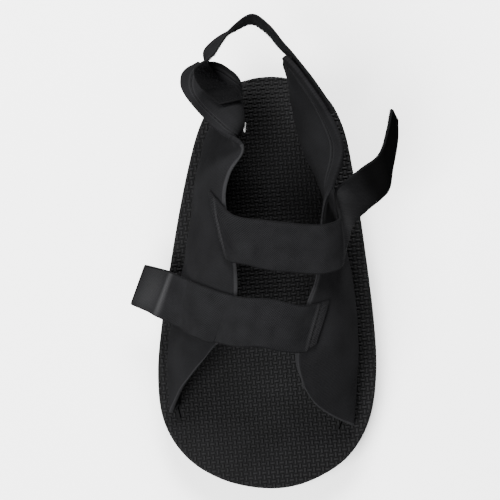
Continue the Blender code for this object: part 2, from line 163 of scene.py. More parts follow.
FOREFOOT_OVER_THE_LEFT = (
    ((0.240, 0.95), (0.020, 0.98)),
    ((0.265, 0.77), (0.110, 0.75)),
    ((0.292, 0.50), (0.170, 0.54)),
)
FOREFOOT_FREE_TAB = (
    (0.464, -0.967, 0.34, -111, -18),
    (0.472, -1.032, 0.31, -113, -24),
    (0.486, -1.192, 0.32, -112, -33),
)
HEEL_PRESSED_LEFT = (
    ((0.855, 0.80), (0.880, 0.59)),
    ((0.905, 0.86), (0.922, 0.62)),
)
HEEL_LOOP = (
    (0.962, -0.555, 0.885, -14, -52),
    (1.010, -0.565, 0.885, 138, -76),
    (1.046, -0.482, 0.87, 136, -74),
    (1.078, -0.343, 0.87, 115, -84),
    (1.101, -0.182, 0.87, 100, -88),
    (1.078, -0.039, 0.87, 84, -88),
    (1.044, 0.072, 0.87, 84, -87),
    (1.004, 0.198, 0.87, -33, -83),
)
HEEL_STITCHED_RIGHT = (
    ((0.925, 1.05), (0.930, 0.68)),
    ((0.870, 1.04), (0.880, 0.68)),
    ((0.820, 1.03), (0.835, 0.68)),
)


# Working out places

def curve_weights(share):
    """How much the near value, its slope, the far value and its slope count at that share of the way."""
    square, cube = share**2, share**3
    return 2 * cube - 3 * square + 1, cube - 2 * square + share, 3 * square - 2 * cube, cube - square


def smooth_value(rows, place):
    """Value at place of the smooth curve through rows of (place, value)."""
    last = len(rows) - 1
    slopes = []
    for i in range(last + 1):
        before = rows[max(i - 1, 0)]
        after = rows[min(i + 1, last)]
        slopes.append((after[1] - before[1]) / (after[0] - before[0]))
    i = 0
    while i < last - 1 and place > rows[i + 1][0]:
        i += 1
    width = rows[i + 1][0] - rows[i][0]
    near, near_slope, far, far_slope = curve_weights(min(max((place - rows[i][0]) / width, 0.0), 1.0))
    return (
        near * rows[i][1] + near_slope * width * slopes[i]
        + far * rows[i + 1][1] + far_slope * width * slopes[i + 1]
    )


def smooth_rows(rows, steps):
    """The smooth surface or curve through an array of rows, with that many steps between each two."""
    rows = np.asarray(rows, dtype=float)
    slopes = np.empty_like(rows)
    slopes[1:-1] = (rows[2:] - rows[:-2]) / 2
    slopes[0], slopes[-1] = rows[1] - rows[0], rows[-1] - rows[-2]
    made = []
    for i in range(len(rows) - 1):
        for step in range(steps):
            near, near_slope, far, far_slope = curve_weights(step / steps)
            made.append(
                near * rows[i] + near_slope * slopes[i] + far * rows[i + 1] + far_slope * slopes[i + 1])
    made.append(rows[-1])
    return np.array(made)


def soft_step(low, high, value):
    share = np.clip((value - low) / (high - low), 0, 1)
    return share * share * (3 - 2 * share)


def turn_of(along):
    return math.acos(1 - 2 * min(max(along, 0.0), 1.0))


def place_of(along):
    return (along - 0.5) * SOLE_LENGTH


def along_of(y):
    return y / SOLE_LENGTH + 0.5


def sole_half_width(along):
    rows = [(turn_of(place), half) for place, half, middle in SOLE_OUTLINE]
    return smooth_value(rows, turn_of(along)) * BALL_WIDTH / 2


def sole_middle(along):
    rows = [(turn_of(place), middle) for place, half, middle in SOLE_OUTLINE]
    return smooth_value(rows, turn_of(along)) * BALL_WIDTH / 2


def footbed_top(along):
    rise = smooth_value(WEDGE, min(max(along, 0.0), 1.0))
    return FOREFOOT_THICKNESS + rise * (HEEL_THICKNESS - FOREFOOT_THICKNESS)


def footbed_underside(along):
    return footbed_top(along) - FOOTBED_THICKNESS


def outsole_top(along):
    return footbed_underside(along) - LAYER_GAP


def outsole_underside(along):
    toe = max(TOE_LIFT_ENDS - along, 0.0) / TOE_LIFT_ENDS
    heel = max(along - HEEL_BEVEL_STARTS, 0.0) / (1 - HEEL_BEVEL_STARTS)
    return TOE_SPRING * toe**2 + HEEL_BEVEL * heel**2


def slit_side(side, along):
    inset = LEFT_SLIT_INSET if side < 0 else RIGHT_SLIT_INSET
    return sole_middle(along) + side * (sole_half_width(along) - inset)


def free_point(along, side, up):
    return np.array((side * BALL_WIDTH / 2, place_of(along), footbed_top(along) + up * PANEL_HEIGHT))


def panel_grid(side):
    """The panel's middle layer as an array: sections from front to back, points from root to rim."""
    sections = []
    for slit, *points in LEFT_SECTIONS if side < 0 else RIGHT_SECTIONS:
        root = np.array((slit_side(side, slit), place_of(slit), footbed_top(slit) + ROOT_RISE))
        sections.append(smooth_rows([root] + [free_point(*point) for point in points], PANEL_STEPS))
    return smooth_rows(sections, SECTION_STEPS)


def grid_point(grid, across, up):
    """Point and normal at shares of a grid's sections and of the way from root to rim."""
    rows, columns = len(grid) - 1, len(grid[0]) - 1
    i = min(int(across * rows), rows - 1)
    j = min(int(up * columns), columns - 1)
    a, b = across * rows - i, up * columns - j
    along_low = grid[i + 1][j] - grid[i][j]
    up_low = grid[i][j + 1] - grid[i][j]
    up_high = grid[i + 1][j + 1] - grid[i + 1][j]
    up_here = (1 - a) * up_low + a * up_high
    normal = np.cross(along_low, up_here)
    return grid[i][j] + a * along_low + b * up_here, normal / np.linalg.norm(normal)


def nearest(values, value):
    """Where in a row of values the one nearest to value stands."""
    return int(np.argmin(np.abs(values - value)))


def spread(line, marks, places):
    """The points at places on a line whose own points stand at marks."""
    return np.stack([np.interp(places, marks, line[:, k]) for k in range(3)], axis=-1)


def surface_normals(middle):
    normals = np.cross(np.gradient(middle, axis=0), np.gradient(middle, axis=1))
    return normals / np.linalg.norm(normals, axis=2, keepdims=True)


def lengths_along(middle, axis):
    """Distance from the first point to each point, counted along that axis of a grid."""
    steps = np.linalg.norm(np.diff(middle, axis=axis), axis=2)
    first = np.zeros_like(np.take(steps, [0], axis=axis))
    return np.concatenate([first, np.cumsum(steps, axis=axis)], axis=axis)


# Creases and seams, as soft troughs and ridges in the cloth

def creased(along, across, creases):
    """Height of the creases at places in mm. Each row gives from, to, width and height, all in mm."""
    height = np.zeros_like(along)
    for (a0, b0), (a1, b1), width, rise in creases:
        reach = (a1 - a0) ** 2 + (b1 - b0) ** 2
        share = ((along - a0) * (a1 - a0) + (across - b0) * (b1 - b0)) / reach
        held = np.clip(share, 0, 1)
        off = np.hypot(along - a0 - held * (a1 - a0), across - b0 - held * (b1 - b0))
        fade = 1 - np.abs(2 * held - 1) ** 3
        height += rise * MM * np.exp(-((off / width) ** 2)) * fade
    return height


def uneven(along, across):
    """A slight unevenness that all soft cloth has, of a few slow waves."""
    waves = ((0.31, 0.12, 0.4), (-0.17, 0.36, 1.9), (0.23, -0.27, 3.1), (0.46, 0.33, 5.0))
    height = np.zeros_like(along)
    for a, b, start in waves:
        height += np.sin(a * along + b * across + start)
    return 0.055 * MM * height


# Making meshes

def placed(name, data):
    """A new object in the scene."""
    thing = bpy.data.objects.new(name, data)
    bpy.context.scene.collection.objects.link(thing)
    return thing


def finish_piece(name, mesh, replaced, finishes):
    """A piece of the shoe with its materials and the solid that it stands for, if there is one."""
    piece = placed(name, mesh)
    for material in finishes:
        mesh.materials.append(material)
    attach(piece, "root")
    if replaced:
        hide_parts(replaced)
    return piece


def mesh_of(name, points, faces, kinds=None, flat=None, wear_and_painted_light=None):
    """A smooth closed mesh. flat holds each point's place on the unrolled cloth, and wear its marks: rub on the
    panels, painted highlight on the straps above zero, painted shade below zero.
    """
    mesh = bpy.data.meshes.new(name)
    mesh.from_pydata([tuple(point) for point in points], [], faces)
    if kinds is not None:
        mesh.polygons.foreach_set("material_index", kinds)
    shape = bmesh.new()
    shape.from_mesh(mesh)
    bmesh.ops.recalc_face_normals(shape, faces=shape.faces)
    shape.to_mesh(mesh)
    shape.free()
    mesh.shade_smooth()
    if flat is not None:
        corners = np.empty(len(mesh.loops), dtype=np.int64)
        mesh.loops.foreach_get("vertex_index", corners)
        layer = mesh.uv_layers.new(name="Flat")
        layer.data.foreach_set("uv", np.asarray(flat)[corners].astype(np.float32).ravel())
    if wear_and_painted_light is not None:
        rubbed_and_lit = mesh.attributes.new("wear_and_painted_light", "FLOAT", "POINT")
        rubbed_and_lit.data.foreach_set("value", np.asarray(wear_and_painted_light, dtype=np.float32))
    return mesh


def tube_faces(base, rings, sides):
    """Faces between rings of points that start at base, and the two that close the ends."""
    faces = []
    for ring in range(rings - 1):
        for k in range(sides):
            near, after = base + ring * sides + k, base + ring * sides + (k + 1) % sides
            faces.append((near, after, after + sides, near + sides))
    last = base + (rings - 1) * sides
    faces.append(tuple(range(base, base + sides)))
    faces.append(tuple(range(last, last + sides)))
    return faces


# Turns in degrees at which a cloth edge has points, and how square it is: 1 is round and 0 is square
EDGE_TURNS = (28, 50, 90, 130, 152)
SQUARENESS = 0.45


def layer_mesh(name, middle, thickness, flat, fuller=(0, 0), wear_and_painted_light=None, bound_from=1.0):
    """A layer of cloth round a grid of points, with faces 0 and 1 and an eased edge.

    The edge is a cut one, face kind 2, up to the share bound_from of the rows, and is covered beyond it.
    """
    rows, columns = middle.shape[:2]
    normals = surface_normals(middle)
    above, below = (np.broadcast_to(thickness / 2 + part, (rows, columns)) for part in fuller)
    first = middle + normals * above[..., None]
    second = middle - normals * below[..., None]
    count = rows * columns
    points = [*first.reshape(-1, 3), *second.reshape(-1, 3)]
    places = [*flat.reshape(-1, 2)] * 2
    wear_and_painted_light = np.zeros((rows, columns)) if wear_and_painted_light is None else wear_and_painted_light
    rubbed_and_lit = [*wear_and_painted_light.ravel()] * 2

    faces, kinds = [], []
    for i in range(rows - 1):
        for j in range(columns - 1):
            near = i * columns + j
            far = near + columns
            faces.append((near, far, far + 1, near + 1))
            faces.append((count + near, count + near + 1, count + far + 1, count + far))
            kinds += [0, 1]

    round_it = [(0, j) for j in range(columns)]
    round_it += [(i, columns - 1) for i in range(1, rows)]
    round_it += [(rows - 1, j) for j in range(columns - 2, -1, -1)]
    round_it += [(i, 0) for i in range(rows - 2, 0, -1)]
    down, over = np.gradient(middle, axis=0), np.gradient(middle, axis=1)
    rings = [[i * columns + j for i, j in round_it]]
    for turn in EDGE_TURNS:
        c, s = math.cos(math.radians(turn)), math.sin(math.radians(turn))
        c, s = math.copysign(abs(c) ** SQUARENESS, c), s**SQUARENESS
        ring = []
        for i, j in round_it:
            out = np.zeros(3)
            if i in (0, rows - 1):
                out += (1 if i else -1) * down[i, j] / np.linalg.norm(down[i, j])
            if j in (0, columns - 1):
                out += (1 if j else -1) * over[i, j] / np.linalg.norm(over[i, j])
            out -= out.dot(normals[i, j]) * normals[i, j]
            half = (first[i, j] - second[i, j]) / 2
            out *= thickness / 2 / np.linalg.norm(out)
            ring.append(len(points))
            points.append((first[i, j] + second[i, j]) / 2 + c * half + s * out)
            places.append(flat[i, j])
            rubbed_and_lit.append(wear_and_painted_light[i, j])
        rings.append(ring)
    rings.append([count + i * columns + j for i, j in round_it])
    for near, far in zip(rings, rings[1:]):
        for k in range(len(near)):
            after = (k + 1) % len(near)
            faces.append((near[k], near[after], far[after], far[k]))
            kinds.append(2 if round_it[k][0] <= bound_from * (rows - 1) else 0)
    return mesh_of(name, points, faces, kinds, places, rubbed_and_lit)


CAPSULE_SIDES = 6
# Each ring of a stitch: its share of the length and of the width. The ends dip by this share of the thickness
CAPSULE_RINGS = ((0.0, 0.35), (0.14, 0.85), (0.5, 1.0), (0.86, 0.85), (1.0, 0.35))
CAPSULE_SUNK = 0.25


def capsule_row(name, lines, thickness):
    """One mesh of short stitches, whose ends dip into the cloth. Each line holds (start, end, normal)."""
    points, faces = [], []
    for start, end, normal in lines:
        run = end - start
        across = np.cross(run, normal)
        across = across / np.linalg.norm(across)
        faces += tube_faces(len(points), len(CAPSULE_RINGS), CAPSULE_SIDES)
        for share, fullness in CAPSULE_RINGS:
            dip = (4 * share * (1 - share) - 1) * CAPSULE_SUNK * thickness
            centre = start + share * run + normal * dip
            for k in range(CAPSULE_SIDES):
                turn = 2 * math.pi * k / CAPSULE_SIDES
                reach = thickness / 2 * fullness
                points.append(centre + reach * (math.cos(turn) * across + math.sin(turn) * normal))
    return mesh_of(name, points, faces)


def stitches_along(path, normals, length, pitch, lift):
    """Stitches of that length and pitch along a path that lies on a surface."""
    path, normals = np.asarray(path), np.asarray(normals)
    reach = np.concatenate([[0], np.cumsum(np.linalg.norm(np.diff(path, axis=0), axis=1))])

    def at(distance):
        normal = spread(normals, reach, distance)
        normal /= np.linalg.norm(normal)
        return spread(path, reach, distance) + lift * normal, normal

    made = []
    place = pitch / 3
    while place + length < reach[-1]:
        start, normal = at(place)
        end, _ = at(place + length)
        made.append((start, end, normal))
        place += pitch
    return made


# Colours and materials

def colour(code):
    """Linear colour with alpha from an sRGB hex value."""
    channels = [int(code[i:i + 2], 16) / 255 for i in (1, 3, 5)]
    return tuple(c / 12.92 if c <= 0.04045 else ((c + 0.055) / 1.055) ** 2.4 for c in channels) + (1.0,)


def add(tree, kind, inputs=(), **settings):
    """A node with its settings. inputs are (socket, value) pairs; a value may be another node's output."""
    node = tree.nodes.new(kind)
    for name, value in settings.items():
        setattr(node, name, value)
    for socket, value in inputs:
        if isinstance(value, bpy.types.NodeSocket):
            tree.links.new(value, node.inputs[socket])
        else:
            node.inputs[socket].default_value = value
    return node


def new_material(name, roughness, sheen=0.0, specular=0.5):
    material = bpy.data.materials.new(name)
    material.use_nodes = True
    shader = material.node_tree.nodes["Principled BSDF"]
    shader.inputs["Roughness"].default_value = roughness
    shader.inputs["Sheen Weight"].default_value = sheen
    shader.inputs["Specular IOR Level"].default_value = specular
    return material, material.node_tree, shader


def eva_foam(name, low, high, grain=0.5):
    """EVA foam with closed cells: a dull skin with pores of grain mm and a faintly uneven black."""
    material, tree, shader = new_material(name, 0.7, specular=0.08)
    place = add(tree, "ShaderNodeTexCoord").outputs["Object"]
    cloud = add(tree, "ShaderNodeTexNoise", [("Vector", place), ("Scale", 60.0), ("Detail", 4.0)])
    pores = add(tree, "ShaderNodeTexNoise", [("Vector", place), ("Scale", 1000 / grain), ("Detail", 2.0)])
    blend = add(tree, "ShaderNodeMixRGB", [
        ("Fac", cloud.outputs["Fac"]), ("Color1", colour(low)), ("Color2", colour(high))])
    bump = add(tree, "ShaderNodeBump", [
        ("Strength", 0.35), ("Distance", 0.0003), ("Height", pores.outputs["Fac"])])
    tree.links.new(blend.outputs["Color"], shader.inputs["Base Color"])
    tree.links.new(bump.outputs["Normal"], shader.inputs["Normal"])
    return material


def woven(tree, pitch_along, pitch_across):
    """Height of a plain weave: threads over and under, from the cloth's own flat coordinates."""
    flat = add(tree, "ShaderNodeUVMap", uv_map="Flat").outputs["UV"]
    parts = add(tree, "ShaderNodeSeparateXYZ", [("Vector", flat)])
    waves = []
    for axis, pitch in (("X", pitch_along), ("Y", pitch_across)):
        turn = add(tree, "ShaderNodeMath", [
            (0, parts.outputs[axis]), (1, 2 * math.pi / pitch)], operation="MULTIPLY")
        waves.append(add(tree, "ShaderNodeMath", [(0, turn.outputs[0])], operation="SINE").outputs[0])
    weave = add(tree, "ShaderNodeMath", [(0, waves[0]), (1, waves[1])], operation="MULTIPLY")
    return weave.outputs[0], flat


def nylon_tape(name, low, high, rubbed_and_lit):
    """Woven nylon hook-and-loop tape: a close, flat, dull weave, with painted highlight where the mark on its
    points is above zero.

    Its real threads are 0.4 mm apart, too fine for the render, so they are drawn 1.2 mm apart. Where the mark
    is below zero the colour is painted darker, as painted shade.
    """
    material, tree, shader = new_material(name, 0.75, specular=0.0)
    weave, flat = woven(tree, 1.2 * MM, 1.2 * MM)
    cloud = add(tree, "ShaderNodeTexNoise", [("Vector", flat), ("Scale", 90.0), ("Detail", 5.0)])
    fuzz = add(tree, "ShaderNodeTexNoise", [("Vector", flat), ("Scale", 1400.0), ("Detail", 2.0)])
    spread = add(tree, "ShaderNodeMath", [(0, weave), (1, 0.6)], operation="MULTIPLY")
    speck = add(tree, "ShaderNodeMath", [(0, fuzz.outputs["Fac"]), (1, 0.55)], operation="MULTIPLY")
    mixed = add(tree, "ShaderNodeMath", [(0, spread.outputs[0]), (1, speck.outputs[0])], operation="ADD")
    mixed = add(tree, "ShaderNodeMath", [
        (0, mixed.outputs[0]), (1, cloud.outputs["Fac"])], operation="ADD", use_clamp=True)
    base = add(tree, "ShaderNodeMixRGB", [
        ("Fac", mixed.outputs[0]), ("Color1", colour(low)), ("Color2", colour(high))])
    # The mark above zero mixes in the pale colour as painted highlight; below zero it mixes in the dark colour
    # as painted shade
    worn_and_lit = add(tree, "ShaderNodeAttribute", attribute_name="wear_and_painted_light").outputs["Fac"]
    painted_highlight_share = add(tree, "ShaderNodeMath", [(0, worn_and_lit), (1, 1.0)], operation="MULTIPLY", use_clamp=True)
    painted_shade_share = add(tree, "ShaderNodeMath", [(0, worn_and_lit), (1, -0.85)], operation="MULTIPLY", use_clamp=True)
    highlighted = add(tree, "ShaderNodeMixRGB", [
        ("Fac", painted_highlight_share.outputs[0]), ("Color1", base.outputs["Color"]), ("Color2", colour(rubbed_and_lit))])
    final = add(tree, "ShaderNodeMixRGB", [
        ("Fac", painted_shade_share.outputs[0]), ("Color1", highlighted.outputs["Color"]), ("Color2", colour(low))])
    height = add(tree, "ShaderNodeMath", [(0, weave), (1, fuzz.outputs["Fac"])], operation="ADD")
    bump = add(tree, "ShaderNodeBump", [
        ("Strength", 0.5), ("Distance", 0.22 * MM), ("Height", height.outputs[0])])
    tree.links.new(final.outputs["Color"], shader.inputs["Base Color"])
    tree.links.new(bump.outputs["Normal"], shader.inputs["Normal"])
    return material


def brushed_loop_fabric(name, low, high, rubbed_and_lit):
    """Knitted nylon loop fabric, brushed and laminated to foam: a soft matt nap over faint knitted courses.

    The courses are 0.6 mm apart in the real cloth. They are drawn 1.3 mm apart, and 2.6 mm the other way, so
    that they show.
    """
    material, tree, shader = new_material(name, 0.9, sheen=0.002, specular=0.0)
    weave, flat = woven(tree, 1.3 * MM, 2.6 * MM)
    nap = add(tree, "ShaderNodeTexNoise", [("Vector", flat), ("Scale", 1100.0), ("Detail", 3.0)])
    cloud = add(tree, "ShaderNodeTexNoise", [("Vector", flat), ("Scale", 45.0), ("Detail", 6.0)])
    courses = add(tree, "ShaderNodeMath", [(0, weave), (1, 0.14)], operation="MULTIPLY")
    mixed = add(tree, "ShaderNodeMath", [(0, courses.outputs[0]), (1, cloud.outputs["Fac"])], operation="ADD")
    fibre = add(tree, "ShaderNodeMath", [(0, nap.outputs["Fac"]), (1, 0.5)], operation="MULTIPLY")
    mixed = add(tree, "ShaderNodeMath", [
        (0, mixed.outputs[0]), (1, fibre.outputs[0])], operation="ADD", use_clamp=True)
    base = add(tree, "ShaderNodeMixRGB", [
        ("Fac", mixed.outputs[0]), ("Color1", colour(low)), ("Color2", colour(high))])
    worn_and_lit = add(tree, "ShaderNodeAttribute", attribute_name="wear_and_painted_light").outputs["Fac"]
    both = add(tree, "ShaderNodeMixRGB", [
        ("Fac", worn_and_lit), ("Color1", base.outputs["Color"]), ("Color2", colour(rubbed_and_lit))])
    height = add(tree, "ShaderNodeMath", [(0, courses.outputs[0]), (1, nap.outputs["Fac"])], operation="ADD")
    bump = add(tree, "ShaderNodeBump", [
        ("Strength", 0.45), ("Distance", 0.0003), ("Height", height.outputs[0])])
    tree.links.new(both.outputs["Color"], shader.inputs["Base Color"])
    tree.links.new(bump.outputs["Normal"], shader.inputs["Normal"])
    return material


def plain_fibre(name, low, high, roughness, grain):
    """Cut foam, spun thread, pile or ribbon: two close tones in a fine grain, given in mm."""
    material, tree, shader = new_material(name, roughness, specular=0.01)
    place = add(tree, "ShaderNodeTexCoord").outputs["Object"]
    noise = add(tree, "ShaderNodeTexNoise", [("Vector", place), ("Scale", 1000 / grain), ("Detail", 3.0)])
    base = add(tree, "ShaderNodeMixRGB", [
        ("Fac", noise.outputs["Fac"]), ("Color1", colour(low)), ("Color2", colour(high))])
    bump = add(tree, "ShaderNodeBump", [
        ("Strength", 0.4), ("Distance", 0.0002), ("Height", noise.outputs["Fac"])])
    tree.links.new(base.outputs["Color"], shader.inputs["Base Color"])
    tree.links.new(bump.outputs["Normal"], shader.inputs["Normal"])
    return material


# Hot-moulded EVA with painted shade: the foam between the pads is coloured almost black for the shade in the
# deep gaps, and the side wall takes the same colour
shaded_footbed_foam = eva_foam("moulded_eva_footbed_painted_shade", "#030303", "#070708")
# The same foam on the pads, painted greyer as the lit copy because their tops catch the light
lit_weave_foam = eva_foam("moulded_eva_weave_painted_light", "#0a0a0a", "#151516")
# EVA cut from sheet: its opened cells look coarser and a little paler
outsole_foam = eva_foam("cut_eva_outsole", "#0e0e0f", "#171718", grain=0.9)
# Brushed loop fabric on foam: a deep soft black, grey where rims and hems are rubbed
panel_cloth = brushed_loop_fabric("brushed_nylon_loop_fabric", "#060606", "#151516", "#2c2c2d")
# Polyurethane foam cut through: its open cells make the rims pale and dry
cut_edge = plain_fibre("cut_polyurethane_foam_edge", "#111112", "#242425", 0.9, 0.6)
# Woven nylon tape: an even dark grey, with painted highlights as pale lines on its folds and paler patches, and
# painted shade on the instep strap's free end
strap_tape = nylon_tape("woven_nylon_tape", "#040404", "#171718", "#343435")
# The tape's selvage: threads packed so close that it looks darker
tape_edge = plain_fibre("nylon_tape_selvage", "#060606", "#121213", 0.7, 0.5)
# The knitted ground under loop pile: light is lost between the loops
pile_side = plain_fibre("nylon_loop_pile_ground", "#050505", "#0f0f10", 0.95, 0.7)
# The loops themselves, brushed open: a grey fuzz along the edges
pile_fibre = plain_fibre("nylon_loop_pile", "#090909", "#242426", 0.8, 0.4)
# Moulded nylon hooks: a fine hard stubble, darker than the tape
hook_tape = plain_fibre("moulded_nylon_hook_tape", "#020202", "#0e0e0f", 0.7, 0.8)
# Spun polyester thread: fine dashes a little paler than the cloth
sewing_thread = plain_fibre("spun_polyester_thread", "#0b0b0b", "#1e1e1f", 0.6, 0.4)
# Cotton lint: pale flecks caught in the nap
lint_fibre = plain_fibre("cotton_lint", "#4c4c4e", "#8a8a8c", 0.9, 0.5)
# Woven polyester ribbon: a matt off-white
tag_ribbon = plain_fibre("woven_polyester_ribbon", "#b4b4b4", "#d8d8d8", 0.7, 0.6)


# The sole

# Turn of the outline, in radians, at which the first and last sections stand
END_TURN = 0.012
# How far the lower and upper edges of each layer are rounded
OUTSOLE_EASES = (1.5 * MM, 0.4 * MM)
FOOTBED_EASES = (0.4 * MM, 1.3 * MM)
# Half of the least width that a section has at toe and heel
NARROWEST = 0.1 * MM


def sole_places():
    turns = [END_TURN + (math.pi - 2 * END_TURN) * i / (SOLE_SECTIONS - 1) for i in range(SOLE_SECTIONS)]
    return [(1 - math.cos(turn)) / 2 for turn in turns]


def sole_layer(name, underside, top, low_ease, high_ease):
    """One EVA layer: an upright side wall between two eased edges."""
    turns = [math.radians(turn) for turn in (0, 30, 60, 90)]
    eased = [(1 - math.sin(turn), 1 - math.cos(turn)) for turn in turns]
    profile = [(-low_ease * away, low_ease * rise, 0) for away, rise in eased]
    profile += [(0.0, None, share) for share in (0.25, 0.5, 0.75)]
    profile += [(-high_ease * away, -high_ease * rise, 1) for away, rise in reversed(eased)]
    points = []
    for along in sole_places():
        half, middle, y = sole_half_width(along), sole_middle(along), place_of(along)
        low, high = underside(along), top(along)
        right = []
        for out, rise, share in profile:
            z = low + share * (high - low) if rise is None else (high if share else low) + rise
            right.append((max(half + out, NARROWEST), z))
        points += [(middle + x, y, z) for x, z in right]
        points += [(middle - x, y, z) for x, z in reversed(right)]
    return mesh_of(name, points, tube_faces(0, SOLE_SECTIONS, 2 * len(profile)))


# Edges between cut faces that turn by more than this stay sharp
SHARP_FROM = math.radians(35)
# The slits' width where they show, their steps, and how far their cutters pass the footbed's faces
SLIT_SHOWN = 0.7 * MM
SLIT_STEPS = 24
CUTTER_PAST = 2 * MM
SLIT_FRONTS = ((-1, "left", LEFT_SLIT_FRONT), (1, "right", RIGHT_SLIT_FRONT))
# Share of the sole's length at each end that has no groove
TREAD_PLAIN_END = 0.03


def cut_away(piece, cutters):
    """Takes the cutters' shapes out of a piece for good."""
    for cutter in cutters:
        modifier = piece.modifiers.new("Cut", "BOOLEAN")
        modifier.operation = "DIFFERENCE"
        modifier.solver = "EXACT"
        modifier.object = cutter
    bpy.context.view_layer.update()
    evaluated = piece.evaluated_get(bpy.context.evaluated_depsgraph_get())
    mesh = bpy.data.meshes.new_from_object(evaluated)
    piece.modifiers.clear()
    mesh.set_sharp_from_angle(angle=SHARP_FROM)
    piece.data = mesh
    for cutter in cutters:
        bpy.data.objects.remove(cutter)


def slit_wall(name, side, front):
    """The shape of a slit, as a thin standing wall."""
    rows = []
    for i in range(SLIT_STEPS + 1):
        along = front + (SLIT_BACK - front) * i / SLIT_STEPS
        x, y = slit_side(side, along), place_of(along)
        rows.append([
            (x, y, footbed_top(along) + CUTTER_PAST),
            (x, y, footbed_underside(along) - CUTTER_PAST),
        ])
    rows = np.array(rows)
    flat = np.zeros(rows.shape[:2] + (2,))
    return placed(name, layer_mesh(name, rows, SLIT_SHOWN, flat))


def tread_boxes():
    """The straight grooves across the underside."""
    shape = bmesh.new()
    count = int(SOLE_LENGTH / 2 / TREAD_PITCH)
    for i in range(-count, count):
        y = (i + 0.5) * TREAD_PITCH
        if not TREAD_PLAIN_END < along_of(y) < 1 - TREAD_PLAIN_END:
            continue
        box = bmesh.ops.create_cube(shape, size=1)["verts"]
        depth = outsole_underside(along_of(y)) + TREAD_GROOVE_DEPTH
        bmesh.ops.scale(shape, vec=(2 * BALL_WIDTH, TREAD_GROOVE_WIDTH, 2 * depth), verts=box)
        bmesh.ops.translate(shape, vec=(0, y, 0), verts=box)
    mesh = bpy.data.meshes.new("tread_boxes")
    shape.to_mesh(mesh)
    shape.free()
    return placed("tread_boxes", mesh)


outsole_mesh = sole_layer("outsole_body", outsole_underside, outsole_top, *OUTSOLE_EASES)
outsole = finish_piece("outsole_body", outsole_mesh, "outsole", [outsole_foam])
cut_away(outsole, [tread_boxes()])

footbed_mesh = sole_layer("footbed_body", footbed_underside, footbed_top, *FOOTBED_EASES)
footbed = finish_piece("footbed_body", footbed_mesh, "footbed", [shaded_footbed_foam])
cut_away(footbed, [slit_wall(word + "_slit", side, front) for side, word, front in SLIT_FRONTS])

# The footbed's moulded basket weave: short pads that lie along and across by turns, a little askew to the shoe

CELL = 2.63 * MM
WEAVE_TURN = math.radians(3.8)
PAD_LONG = 1.56 * MM
PAD_SHORT = 0.80 * MM
PAD_HEIGHT = 0.75 * MM
PAD_SUNK = 0.1 * MM
PAD_CORNERS = 8
# Each ring of a pad: its share of the half length and of the half width, and how high it stands
PAD_RINGS = ((1.00, 1.00, 0.0), (0.97, 0.90, 0.55), (0.88, 0.62, 0.88), (0.70, 0.25, 1.0))
# How near a pad's middle may come to the sole's edge and to a slit, and its points to the edge and the ends
MIDDLE_TO_EDGE = 0.5 * MM
MIDDLE_TO_SLIT = 1.15 * MM
POINT_TO_EDGE = 0.9 * MM
POINT_TO_END = 0.0015


def turned(x, y):
    """A point of the weave's own grid, set askew."""
    c, s = math.cos(WEAVE_TURN), math.sin(WEAVE_TURN)
    return x * c - y * s, x * s + y * c


def pad_middles():
    """Where pads stand, clear of the sole's edge and of the slits, and whether each lies across the shoe."""
    reach = int(0.625 * SOLE_LENGTH / CELL)
    for i in range(-reach, reach + 1):
        for j in range(-reach, reach + 1):
            x, y = turned(i * CELL, j * CELL)
            along = along_of(y)
            if not 0.0 < along < 1.0:
                continue
            if abs(x - sole_middle(along)) > sole_half_width(along) - MIDDLE_TO_EDGE:
                continue
            slits = [side for side, word, front in SLIT_FRONTS if front < along < SLIT_BACK]
            if all(abs(x - slit_side(side, along)) >= MIDDLE_TO_SLIT for side in slits):
                yield x, y, (i + j) % 2 == 0


def weave_pads():
    points, faces = [], []
    for x, y, lying in pad_middles():
        a, b = (PAD_LONG, PAD_SHORT) if lying else (PAD_SHORT, PAD_LONG)
        faces += tube_faces(len(points), len(PAD_RINGS), PAD_CORNERS)
        for lengthwise, crosswise, rise in PAD_RINGS:
            wide, tall = (lengthwise, crosswise) if lying else (crosswise, lengthwise)
            for k in range(PAD_CORNERS):
                turn = 2 * math.pi * (k + 0.5) / PAD_CORNERS
                c, s = math.cos(turn), math.sin(turn)
                across, down = turned(
                    a * wide * math.copysign(abs(c) ** SQUARENESS, c),
                    b * tall * math.copysign(abs(s) ** SQUARENESS, s),
                )
                here = min(max(along_of(y + down), POINT_TO_END), 1 - POINT_TO_END)
                limit = max(sole_half_width(here) - POINT_TO_EDGE, 0)
                side = min(max(x + across, sole_middle(here) - limit), sole_middle(here) + limit)
                points.append((side, place_of(here), footbed_top(here) - PAD_SUNK + rise * PAD_HEIGHT))
    return mesh_of("footbed_weave", points, faces)


finish_piece("footbed_weave", weave_pads(), "footbed", [lit_weave_foam])


# The upper: two panels that stand in the slits, joined by a web under the footbed

# Creases, lint and the tag are placed in mm along and up a panel as if it were laid flat and this size
PANEL_LONG = 175
PANEL_TALL = 80
